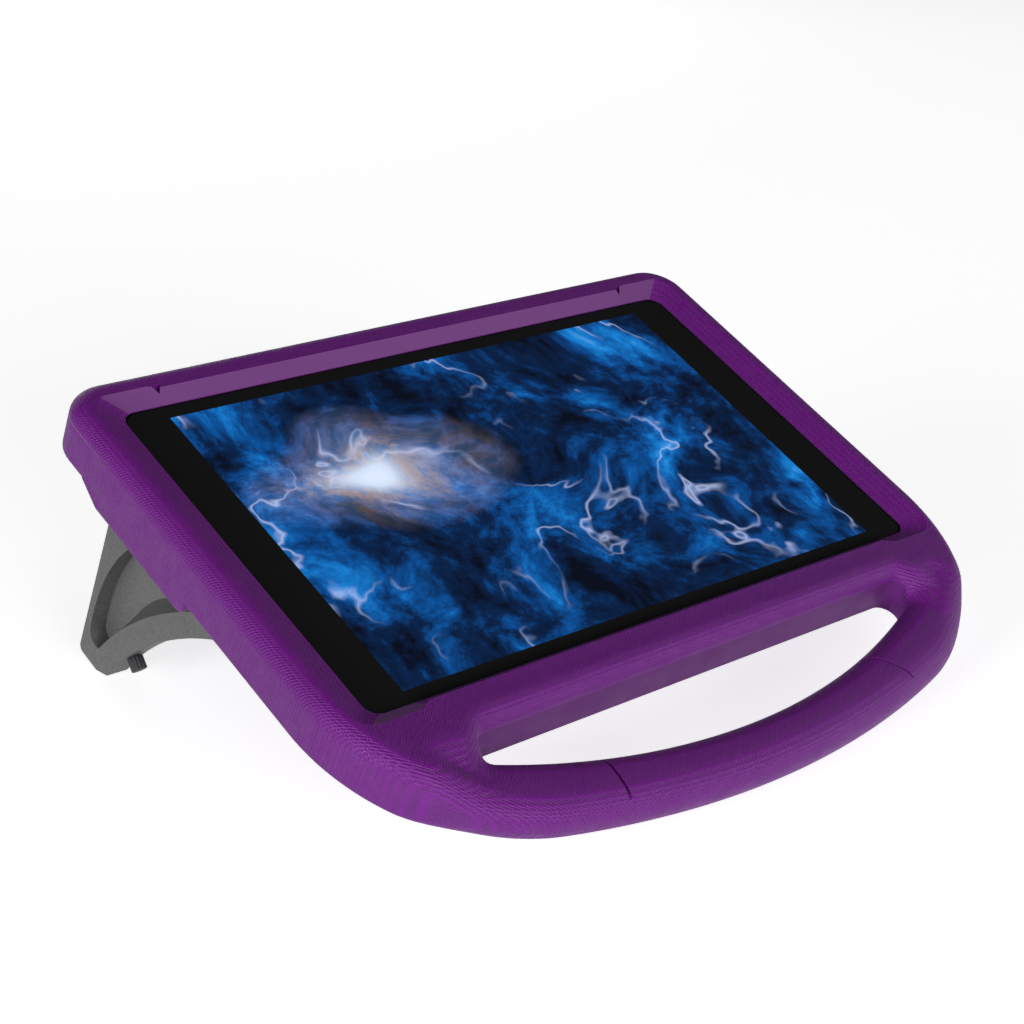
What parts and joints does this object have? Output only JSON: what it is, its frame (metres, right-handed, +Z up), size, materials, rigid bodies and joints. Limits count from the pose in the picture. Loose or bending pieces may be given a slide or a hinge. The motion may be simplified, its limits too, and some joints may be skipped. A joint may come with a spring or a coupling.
{
  "type": "kids tablet case",
  "caption": "Thick foam tablet case with a wide carrying handle across its lower edge and folding legs that prop it up, with the tablet in place.",
  "frame": {"origin": "on the table, at the centre of the part's bounding box seen from above", "axes": "+X to the viewer's right across the screen, +Y away from the viewer, from the handle towards the stand, +Z up"},
  "size_m": [0.282, 0.2376, 0.1137],
  "materials": {
    "foam": "matte moulded foam, finely dimpled",
    "stand_plastic": "fine grain",
    "knob_rubber": "matte",
    "steel": "bright",
    "cover_glass": "polished, black behind",
    "tablet_metal": "satin",
    "display": "lit, abstract blue",
    "battery_wrap": "foil wrap",
    "circuit_board": "solder mask",
    "black_plastic": "satin"
  },
  "bodies": {
    "case": {"case_shell": "foam", "carry_handle": "foam", "tablet_housing": "tablet_metal", "tablet_glass": "cover_glass", "display_panel": "display", "battery": "battery_wrap", "mainboard": "circuit_board", "rear_camera": "black_plastic", "usb_port": "steel", "audio_jack": "black_plastic", "speaker_upper": "black_plastic", "speaker_lower": "black_plastic", "hinge_bracket_right": "stand_plastic", "hinge_pin_right": "steel", "clamp_plate_right": "stand_plastic", "clamp_screw_right_1": "steel", "clamp_screw_right_2": "steel", "hinge_bracket_left": "stand_plastic", "hinge_pin_left": "steel", "clamp_plate_left": "stand_plastic", "clamp_screw_left_1": "steel", "clamp_screw_left_2": "steel"},
    "leg_right": {"leg_right": "stand_plastic", "finger_knob_right": "knob_rubber"},
    "leg_left": {"leg_left": "stand_plastic", "finger_knob_left": "knob_rubber"},
    "power_key": {"power_key": "tablet_metal"},
    "volume_key": {"volume_key": "tablet_metal"}
  },
  "joints": [
    {"name": "leg_right_fold", "type": "hinge", "parent": "case", "child": "leg_right", "pos_m": [0.11365, 0.03787, 0.06523], "axis": [0, 0.9008, 0.4342], "range_deg": [0, 90]},
    {"name": "leg_left_fold", "type": "hinge", "parent": "case", "child": "leg_left", "pos_m": [-0.11365, 0.03787, 0.06523], "axis": [0, -0.9008, -0.4342], "range_deg": [0, 90]},
    {"name": "power_key_press", "type": "slide", "parent": "case", "child": "power_key", "axis": [0, -0.9008, -0.4342], "range_m": [0, 0.0005], "stiffness_N_per_m": 600, "springref_m": -0.0015},
    {"name": "volume_key_press", "type": "slide", "parent": "case", "child": "volume_key", "axis": [0, -0.9008, -0.4342], "range_m": [0, 0.0005], "stiffness_N_per_m": 600, "springref_m": -0.0015}
  ]
}
